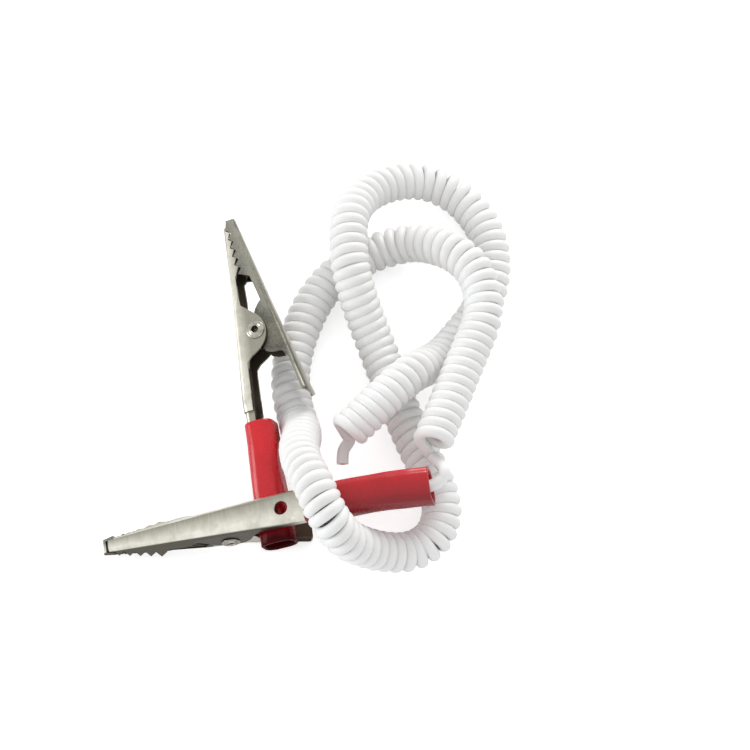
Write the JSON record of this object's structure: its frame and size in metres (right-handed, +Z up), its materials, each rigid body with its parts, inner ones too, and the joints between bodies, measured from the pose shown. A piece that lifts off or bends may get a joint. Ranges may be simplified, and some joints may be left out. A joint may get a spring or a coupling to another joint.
{
  "type": "earthing cord with spring clips",
  "caption": "White curly earthing cord with a sprung steel crocodile clip crimped in a red sleeve at one end, and a loose matching clip lying in its loops.",
  "frame": {"origin": "middle of the two clips' outline on the bench, on the bench surface", "axes": "+X to the right and +Y away, seen as in the picture; +Z up from the bench"},
  "size_m": [0.065, 0.0722, 0.0199],
  "materials": {
    "clip_steel": "nickel-plated stamped sheet, satin with bright bent edges",
    "rivet": "bright plated",
    "spring": "plated spring wire",
    "sleeve": "soft glossy red vinyl",
    "cord": "soft satin white vinyl",
    "conductor": "stranded copper, shown smooth"
  },
  "bodies": {
    "set": {"base_jaw_1": "clip_steel", "rivet_1": "rivet", "spring_1": "spring", "sleeve_1": "sleeve", "base_jaw_2": "clip_steel", "rivet_2": "rivet", "spring_2": "spring", "sleeve_2": "sleeve", "curly_cord": "cord", "cord_tail": "cord", "tail_conductor": "conductor", "cord_lead": "cord", "lead_conductor": "conductor"},
    "lever_1": {"lever_jaw_1": "clip_steel"},
    "lever_2": {"lever_jaw_2": "clip_steel"}
  },
  "joints": [
    {"name": "clip_1_opens", "type": "hinge", "parent": "set", "child": "lever_1", "pos_m": [-0.00168, 0.00772, 0.0084], "axis": [0.2759, 0.1174, -0.954], "range_deg": [0, 9], "stiffness_Nm_per_rad": 0.02, "springref_deg": -0.57, "deforming": ["spring_1"]},
    {"name": "clip_2_opens", "type": "hinge", "parent": "set", "child": "lever_2", "pos_m": [-0.00606, -0.0233, 0.0038], "axis": [0.1259, -0.992, 0], "range_deg": [0, 5], "stiffness_Nm_per_rad": 0.02, "springref_deg": -0.57, "deforming": ["spring_2"]}
  ]
}
